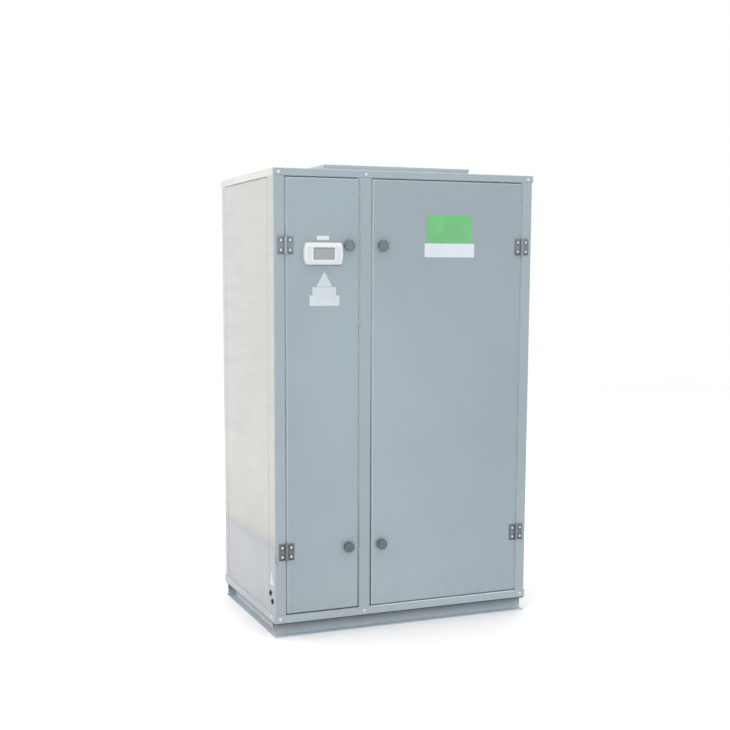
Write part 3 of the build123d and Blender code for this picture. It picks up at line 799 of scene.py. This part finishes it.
class StageSettings(PropertyGroup):
    """Camera, lights and floor."""

    camera_place: FloatVectorProperty(
        name="Camera place", description="Where the camera stands",
        default=(-2.1153, -4.9069, 1.5294), subtype="TRANSLATION", unit="LENGTH",
    )
    camera_turn: FloatVectorProperty(
        name="Camera turn", description="Camera rotation",
        default=tuple(math.radians(v) for v in (82.76, 0.0, -21.13)), subtype="EULER",
        unit="ROTATION",
    )
    lens_mm: FloatProperty(
        name="Lens", description="Focal length in millimetres on a 36 mm sensor", default=57.70,
        min=10.0,
    )
    shift: FloatVectorProperty(
        name="Camera shift", description="Framing shift of the photograph", size=2,
        default=(0.0514, 0.0777),
    )
    side_light: power_setting("Side light", "Power of the soft box on the left", 46.0)
    rear_light: power_setting("Rear light", "Soft box that the left side panel mirrors", 8.0)
    front_light: power_setting("Front light", "Power of the soft box in front", 11.0)
    top_light: power_setting("Top light", "Power of the soft box overhead", 125.0)
    sky: FloatProperty(
        name="Surrounding light", description="Strength of the white surroundings", default=1.0,
        min=0.0,
    )
    floor_reach: length_setting("Floor reach", "Half width of the floor", 9000)


def looks():
    return bpy.context.scene.cabinet_looks


def sizes():
    return bpy.context.scene.fitting_sizes


# Operators
class PaintCabinet(Operator):
    """Paint the frame, the panels, the doors and the plinth"""

    bl_idname = "cabinet.paint_cabinet"
    bl_label = "Paint the cabinet"

    def execute(self, context):
        look = looks()
        plinth_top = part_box("long_base_channels")[1].z
        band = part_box("roof_collar")[1].z - 0.012
        coats = {
            # Painted light on the bottom rail and above the top rail's foot, and a painted
            # highlight on the centre post's left edge
            "cabinet_paint": powder_coat(
                "frame powder coat", look.paint, shading=RAIL_SHADING,
                bright_edges=lit_edges("centre_post")[:1],
            ),
            # Painted shadow under the display, painted highlights on the lit edges and a painted
            # reflection tint
            "door_paint": powder_coat(
                "door powder coat", look.door_paint, scuffs_and_shade=[DISPLAY_SHADE],
                bright_edges=lit_edges("left_door_skin"), reflection_tint=NARROW_REFLECTION_TINT,
            ),
            # Painted shade under the bottom rail: the channels are darkest at their top and lighter
            # at their foot
            "plinth_paint": powder_coat(
                "channel paint", look.plinth_paint, shading=[(0.0, plinth_top, 1.55, 0.12)]
            ),
        }
        own_coats = {
            # The left post takes a smaller share of the painted side light
            "front_left_post": powder_coat(
                "scuffed powder coat", look.paint, scuffs_and_shade=[POST_SCUFF], side_tint_share=0.35
            ),
            # Painted light: the collar's wall below its band is lighter
            "roof_collar": powder_coat(
                "collar coat", look.collar_paint,
                shading=[(band - 0.0005, band + 0.0005, 1.22, 1.0)],
            ),
            # Painted shade darkening the wide door upwards, painted highlights on its lit edges and
            # a painted reflection tint
            "right_door_skin": powder_coat(
                "wide door powder coat", look.door_paint, shading=WIDE_SHADING,
                bright_edges=lit_edges("right_door_skin"), reflection_tint=WIDE_REFLECTION_TINT,
            ),
        }
        for row in frame["record"]["subparts"]:
            coat = own_coats.get(row["node"], coats.get(row["material_slot"]))
            if coat:
                dress([row["node"]], coat)
        return {"FINISHED"}


class LineInside(Operator):
    """Give the lining boards and the door seals their finish"""

    bl_idname = "cabinet.line_inside"
    bl_label = "Linings and seals"

    def execute(self, context):
        board = insulation_board("insulation board", looks().lining)
        dress(["side_linings", "rear_linings", "left_door_lining", "right_door_lining"], board)
        seal = rubber("door seal rubber", looks().seal, 0.35)
        dress(["left_door_seal", "right_door_seal"], seal)
        return {"FINISHED"}


class FinishHinges(Operator):
    """Give the hinges their casting finish, and add their screws in raised rings"""

    bl_idname = "cabinet.finish_hinges"
    bl_label = "Hinges and their screws"

    def execute(self, context):
        size = sizes()
        pins = plated_steel("hinge pin steel", looks().steel, 0.35, (1, 1, 6))
        bright = plated_steel("bright screw", looks().hinge_screws, 0.32)
        random = np.random.default_rng(size.turn_seed)
        outer, inner, base, rim = size.boss_radius, size.hinge_screw_radius, -0.0004, 0.0008
        ring = turned(np.concatenate([
            [(outer, base)], arc(outer - rim, 0.0004, rim, 0, 90, 4),
            arc(inner + 0.0009, 0.0004, rim, 90, 180, 4), [(inner + 0.0001, base)],
        ]), 40)
        for side, outward in zip(SIDES, (-1, 1)):
            leaves = f"{side}_hinge_frame_leaves"
            casting = hinge_casting(
                f"{side} hinge casting", looks().hinge, HINGE_X[side], *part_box(leaves),
                HINGE_LIGHT_FACTORS[side],
            )
            dress([leaves, f"{side}_hinge_door_leaves"], casting)
            dress([f"{side}_hinge_pins"], pins)
            leaf_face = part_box(leaves)[1].y - 0.005
            for leaf, across, body in (
                ("frame", outward, "cabinet"), ("door", -outward, f"{side}_door"),
            ):
                x = HINGE_X[side] + across * size.hinge_spread_x / 2
                centres = [
                    (x, leaf_face, height + up * size.hinge_spread_z / 2)
                    for height in FITTING_HEIGHTS for up in (-1, 1)
                ]
                rings = placed(ring, centres, "front")
                boss = shell(f"{side}_{leaf}_hinge_bosses", rings, looped=True)
                fitted(boss, casting, body)
                screws = screw_heads(
                    f"{side}_{leaf}_hinge_screws", centres, "front", inner,
                    size.hinge_screw_height, random,
                )
                fitted(screws, bright, body)
        return {"FINISHED"}


class FrameScrews(Operator):
    """Add the pale screws in the corners of the frame"""

    bl_idname = "cabinet.frame_screws"
    bl_label = "Frame screws"

    def execute(self, context):
        size = sizes()
        finish = screw_paint("pale screw", looks().frame_screws)
        heights = size.bottom_rise, CABINET_HIGH.z - size.top_drop
        left, right = LEFT_FACE + size.side_inset, RIGHT_FACE - size.side_inset
        side_screw = FRONT_FACE + 0.045, 0.084
        post = node_centre("centre_post").x
        rows = {
            "front": [(x, FRONT_FACE, z) for z in heights for x in (left, post, right)],
            "back": [(x, BACK_FACE, z) for z in heights for x in (left, 0.0, right)],
            "left": [(LEFT_FACE, *side_screw)],
            "right": [(RIGHT_FACE, *side_screw)],
        }
        random = np.random.default_rng(size.turn_seed + 1)
        for facing, centres in rows.items():
            heads = screw_heads(
                f"{facing}_frame_screws", centres, facing, size.screw_radius, size.screw_height,
                random,
            )
            fitted(heads, finish, "cabinet")
        return {"FINISHED"}


class LatchKnobs(Operator):
    """Replace the four latch knobs by moulded ones, and finish the cams behind the doors"""

    bl_idname = "cabinet.latch_knobs"
    bl_label = "Latches"

    def execute(self, context):
        # Painted light and shade: the lower knobs darker, and a factor for each knob
        knob_colours_as_lit = {"lower": looks().lower_knob, "upper": looks().upper_knob}
        steel = plated_steel("cam steel", looks().steel, 0.38)
        for side, level in LATCHES:
            node = f"{side}_{level}_knob"
            low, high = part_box(node)
            centre = KNOB_CENTRE[side, level]
            knob = knob_surface(
                f"{side}_{level}_moulded_knob", (centre.x, FRONT_FACE, centre.z),
                FRONT_FACE - low.y, high.y - FRONT_FACE,
            )
            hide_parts(node)
            colour = toned(knob_colours_as_lit[level], KNOB_LIGHT_FACTORS[side, level])
            finish = knob_plastic(f"{side} {level} knob plastic", colour)
            fitted(knob, finish, f"{side}_{level}_latch")
            dress([f"{side}_{level}_cam"], steel)
        return {"FINISHED"}


def knob_surface(name, centre, proud, behind):
    """A moulded knob on its spindle.

    Rings go from the spindle's end, along it, out over the round foot, up the grip and in over
    its cap. A ring's radius at angle t is its own radius times a mix of 1 and the eight-sided
    outline cos(22.5 degrees) / cos(t folded into one side). On the cap a raised bar adds its
    height where the point is inside a soft rectangle, and a dish takes away a little round it.
    """
    around, cap_rings, bar, edge = 96, 14, 0.0020, 0.0026
    grip, foot, cap = 0.0225, 0.0200, proud - bar
    spindle, square, dish_radius = 0.0069, 0.0049, 0.0165
    rows = [
        (square, -behind, 0.0), (square, -behind + 0.0035, 0.0),
        (spindle, -behind + 0.0036, 0.0), (spindle, 0.0003, 0.0),
        (foot, 0.0003, 0.0), (foot + 0.0003, 0.0008, 0.0), (foot + 0.0003, 0.0038, 0.0),
        (foot - 0.0006, 0.0043, 0.0), (grip - 0.0012, 0.0046, 0.8), (grip, 0.0058, 1.0),
    ]
    rows += [(r, p, 1.0) for r, p in arc(grip - edge, cap - edge, edge, 0, 90, 9)]
    inward = np.linspace(grip - edge - 0.0008, 0.0004, cap_rings)
    rows += [(r, cap, 1.0 - k / cap_rings) for k, r in enumerate(inward)]
    radius, height, sided = np.array(rows, float).T[:, :, None]
    angle = np.linspace(0, 2 * np.pi, around, endpoint=False)
    fold = np.mod(angle + np.pi / 8, np.pi / 4) - np.pi / 8
    octagon = 1 / np.cos(fold) * 0.965
    reach = radius * (1 + sided * (octagon - 1))
    local = np.stack([reach * np.cos(angle), reach * np.sin(angle), height + 0 * angle], axis=-1)
    on_cap = (np.arange(len(rows)) >= len(rows) - cap_rings)[:, None]
    ridge = bar_mask(local[..., 0], 0.0040, 0.0016) * bar_mask(local[..., 1], 0.0150, 0.0022)
    away = np.hypot(local[..., 0], local[..., 1])
    dish = 0.0007 * bar_mask(away, dish_radius, 0.003)
    local[..., 2] += on_cap * (ridge * (bar + dish) - dish)
    knob = shell(name, placed(local, [centre], "front"), 40)
    # The cap's painted light: 1 in the middle of the cap, 0 on its rim and sides
    cap_light_share = knob.data.attributes.new("cap_light_share", "FLOAT", "POINT")
    share = (on_cap * bar_mask(away, dish_radius, 0.006)).ravel()
    cap_light_share.data.foreach_set("value", np.concatenate([share, [0.0, 1.0]]))
    return knob


class DisplayTerminal(Operator):
    """Replace the display's housing and keypads by smooth ones, and finish its screen"""

    bl_idname = "cabinet.display_terminal"
    bl_label = "Display"

    def execute(self, context):
        look = looks()
        centre = (DISPLAY_CENTRE.x, FRONT_FACE, DISPLAY_CENTRE.z)
        housing = display_surface("display_white_housing", centre)
        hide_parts("display_housing")
        white = display_plastic("display plastic", look.housing, 0.3)
        fitted(housing, white, "left_door")
        low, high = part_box("display_keypads")
        width = 0.022
        pad = plate_rings(rectangle_outline(width, high.z - low.z, 0.003), 0.0003, 0.0002)
        centres = [
            (x, DISPLAY_LOW.y, DISPLAY_CENTRE.z) for x in (low.x + width / 2, high.x - width / 2)
        ]
        pads = shell("display_membrane_pads", placed(pad, centres, "front"), 30)
        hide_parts("display_keypads")
        fitted(pads, display_plastic("membrane", look.keypad, 0.42), "left_door")
        dress(["display_screen"], liquid_crystal("blank screen", look.screen))
        return {"FINISHED"}


def display_surface(name, centre):
    """The display's housing.

    The outline is a rectangle with round corners whose ends bow out by the bow times 1 less the
    square of height over half height. Rings go up the side, over a quarter round, in over a flat
    face, and over a small round down into the window, whose own outline is reached by mixing the
    two outlines point by point.
    """
    size = DISPLAY_HIGH - DISPLAY_LOW
    proud, bow, edge, lip, depth, draft = size.y, 0.007, 0.0040, 0.0008, 0.003, 0.0006
    outer = rectangle_outline(size.x - 2 * bow, size.z, 0.0055, between=11)
    flank = np.clip(np.abs(outer[:, 0]) / (size.x / 2 - bow), 0, 1)
    outer[:, 0] += np.sign(outer[:, 0]) * bow * flank * (1 - (2 * outer[:, 1] / size.z) ** 2)
    window = rectangle_outline(0.0940, 0.0500, 0.0015, between=11)
    turn = [(1 - math.cos(a), 1 - math.sin(a)) for a in np.linspace(0, np.pi / 2, 8)[1:]]
    rings = [(outer, 0.0), (scaled_inward(outer, 0.0004), 0.0012)]
    rings.append((scaled_inward(outer, draft), proud - edge))
    rings += [(scaled_inward(outer, draft + edge * i), proud - edge * o) for i, o in turn]
    face = scaled_inward(outer, draft + edge)
    rings += [(face + (window * 1.02 - face) * t, proud) for t in (0.25, 0.5, 0.75, 1.0)]
    rings += [(window * (1 + 0.02 * o), proud - lip * i) for i, o in turn]
    rings += [(window, proud - depth), (window * 0.9, proud - depth - 0.0001)]
    return shell(name, placed(stacked(rings), [centre], "front"), 30)


class DoorPlates(Operator):
    """Add the blank plates, the tag and the stickers"""

    bl_idname = "cabinet.door_plates"
    bl_label = "Blank plates"

    def execute(self, context):
        look, size = looks(), sizes()
        thin, thick = size.label_thickness, size.plate_thickness
        white = label_film("white label", look.white_label, 0.38)
        tag = label_film("pale tag", look.tag, 0.35)
        green = label_film("green plate", look.green_plate, 0.33, 0.10)
        strip = label_film("white strip", look.strip, 0.36)
        side = label_film("side label", look.side_label, 0.4)

        # Left, right, lower and upper edge of each, in millimetres from the cabinet's left face
        # and from the floor, then its corner radius
        for name, edges, radius, thickness, finish, body in (
            ("display_tag", (190, 243, 1664, 1681), 0.0015, thin, tag, "left_door"),
            ("upper_blank_label", (170, 274, 1438, 1472), 0.0015, thin, white, "left_door"),
            ("lower_blank_label", (157, 289.5, 1395, 1438), 0.0015, thin, white, "left_door"),
            ("green_plate", (689, 903, 1655, 1772), 0.003, thick, green, "right_door"),
            ("white_strip", (678, 914, 1596, 1654.5), 0.003, thick, strip, "right_door"),
        ):
            low_x, high_x, low_z, high_z = (edge * MILLIMETRE for edge in edges)
            outline = rectangle_outline(high_x - low_x, high_z - low_z, radius)
            middle = (LEFT_FACE + (low_x + high_x) / 2, FRONT_FACE, (low_z + high_z) / 2)
            piece = plate(name, outline, thickness, middle)
            fitted(piece, finish, body)

        # Triangles, by their half width, height, middle, finish, body and side
        for name, half, rise, middle, finish, body, facing in (
            ("blank_triangle", 0.035, 0.062, (LEFT_FACE + 0.222, FRONT_FACE, 1.474 + 0.062 / 3),
             white, "left_door", "front"),
            ("side_sticker", 0.030, 0.0585, (LEFT_POST_FACE, FRONT_FACE + 0.049, 0.242),
             side, "cabinet", "left"),
        ):
            corners = [(-half, -rise / 3), (half, -rise / 3), (0, rise * 2 / 3)]
            piece = plate(name, rounded_outline(corners, 0.003), thin, middle, facing)
            fitted(piece, finish, body)
        return {"FINISHED"}


class CableGrommets(Operator):
    """Replace the cable grommets by rounded rubber rings"""

    bl_idname = "cabinet.cable_grommets"
    bl_label = "Cable grommets"

    def execute(self, context):
        low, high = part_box("cable_grommets")
        outer, bore, lip, edge, behind = 0.012, 0.008, 0.003, 0.0012, high.x - LEFT_POST_FACE
        neck = outer - 0.0015
        profile = np.concatenate([
            [(neck, -behind + 0.0006), (neck, -0.0001), (outer, 0.0)],
            arc(outer - edge, lip - edge, edge, 0, 90, 6),
            arc(bore + edge, lip - edge, edge, 90, 180, 6),
            [(bore, -behind + 0.0006), (bore + 0.0005, -behind), (neck - 0.0005, -behind)],
        ])
        centres = [
            (LEFT_POST_FACE, low.y + outer, low.z + outer),
            (LEFT_POST_FACE, high.y - outer, high.z - outer),
        ]
        local = placed(turned(profile, 48), centres, "left")
        rings = shell("rubber_grommets", local, 40, looped=True)
        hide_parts("cable_grommets")
        fitted(rings, rubber("grommet rubber", looks().grommet, 0.1), "cabinet")
        return {"FINISHED"}


class SetStage(Operator):
    """Make the floor, the lights and the camera"""

    bl_idname = "cabinet.set_stage"
    bl_label = "Stage"

    def execute(self, context):
        scene, stage = context.scene, context.scene.stage_settings
        corners = np.array([(-1, -1, 0), (1, -1, 0), (1, 1, 0), (-1, 1, 0)]) * stage.floor_reach
        floor = mesh_object("floor", corners, [np.array([[0, 1, 2, 3]])])
        finish = Finish("pale floor", (0.95, 0.95, 0.95), 0.6)
        mottle = finish.patches(0.9, 3, 0.3, 0.7)
        tone = finish.blend(mottle, (0.972, 0.975, 0.98), (0.985, 0.985, 0.985))
        floor.data.materials.append(finish.done(tone, grain=(240, 2, 0.05, 0.0006)))

        scene.world = bpy.data.worlds.new("white surroundings")
        scene.world.use_nodes = True
        background = scene.world.node_tree.nodes["Background"]
        background.inputs["Color"].default_value = (1.0, 1.0, 1.0, 1.0)
        background.inputs["Strength"].default_value = stage.sky

        # Each soft box: its place, the point it is aimed at, width, height, power and colour
        for name, place, aim, wide, tall, power, colour in (
            ("left soft box", (-4.2, 0.4, 1.9), (-0.6, 0.0, 1.2), 3.2, 3.0, stage.side_light,
             (1.0, 0.83, 0.71)),
            ("front soft box", (-3.2, -3.6, 3.4), (0.0, -0.3, 1.0), 1.6, 1.6, stage.front_light,
             (0.97, 0.985, 1.0)),
            ("rear soft box", (-1.75, 1.9, 1.32), (-1.75, 0.0, 1.32), 2.3, 2.6, stage.rear_light,
             (1.0, 0.99, 0.96)),
            ("top soft box", (0.0, 0.3, 5.2), (0.0, 0.31, 0.0), 5.0, 5.0, stage.top_light,
             (1.0, 1.0, 1.0)),
        ):
            lamp = bpy.data.lights.new(name, "AREA")
            lamp.shape = "RECTANGLE"
            lamp.size, lamp.size_y, lamp.energy, lamp.color = wide, tall, power, colour
            east, north, up = np.subtract(aim, place)
            pitch = math.atan2(up, math.hypot(east, north))
            holder = bpy.data.objects.new(name, lamp)
            holder.location = place
            holder.rotation_euler = Euler((math.pi / 2 + pitch, 0, -math.atan2(east, north)))
            holder.visible_camera = False
            scene.collection.objects.link(holder)

        camera = bpy.data.cameras.new("camera")
        camera.sensor_width, camera.lens = 36.0, stage.lens_mm
        camera.shift_x, camera.shift_y = stage.shift
        holder = bpy.data.objects.new("camera", camera)
        holder.location = stage.camera_place
        holder.rotation_euler = stage.camera_turn
        scene.collection.objects.link(holder)
        scene.camera = holder
        scene.view_settings.view_transform = "Standard"
        return {"FINISHED"}


OPERATORS = (
    PaintCabinet, LineInside, FinishHinges, FrameScrews, LatchKnobs, DisplayTerminal,
    DoorPlates, CableGrommets, SetStage,
)


class CabinetPanel(Panel):
    """The settings and the operators in the sidebar"""

    bl_idname = "CABINET_PT_looks"
    bl_label = "Air conditioner looks"
    bl_space_type = "VIEW_3D"
    bl_region_type = "UI"
    bl_category = "Cabinet"

    def draw(self, context):
        for settings in SETTINGS:
            group = getattr(context.scene, settings)
            box = self.layout.box()
            for name in group.bl_rna.properties.keys():
                if name not in ("rna_type", "name"):
                    box.prop(group, name)
        for operator in OPERATORS:
            self.layout.operator(operator.bl_idname)


SETTINGS = {
    "cabinet_looks": CabinetLooks, "fitting_sizes": FittingSizes, "stage_settings": StageSettings,
}
CLASSES = (*SETTINGS.values(), *OPERATORS, CabinetPanel)


def register():
    for item in CLASSES:
        bpy.utils.register_class(item)
    for name, group in SETTINGS.items():
        setattr(bpy.types.Scene, name, PointerProperty(type=group))


def unregister():
    for name in SETTINGS:
        delattr(bpy.types.Scene, name)
    for item in reversed(CLASSES):
        bpy.utils.unregister_class(item)


def main():
    """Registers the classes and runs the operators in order."""
    register()
    for operator in OPERATORS:
        group, name = operator.bl_idname.split(".")
        result = getattr(getattr(bpy.ops, group), name)()
        if result != {"FINISHED"}:
            raise RuntimeError(f"{operator.bl_label} didn't finish")


if __name__ == "__main__":
    main()
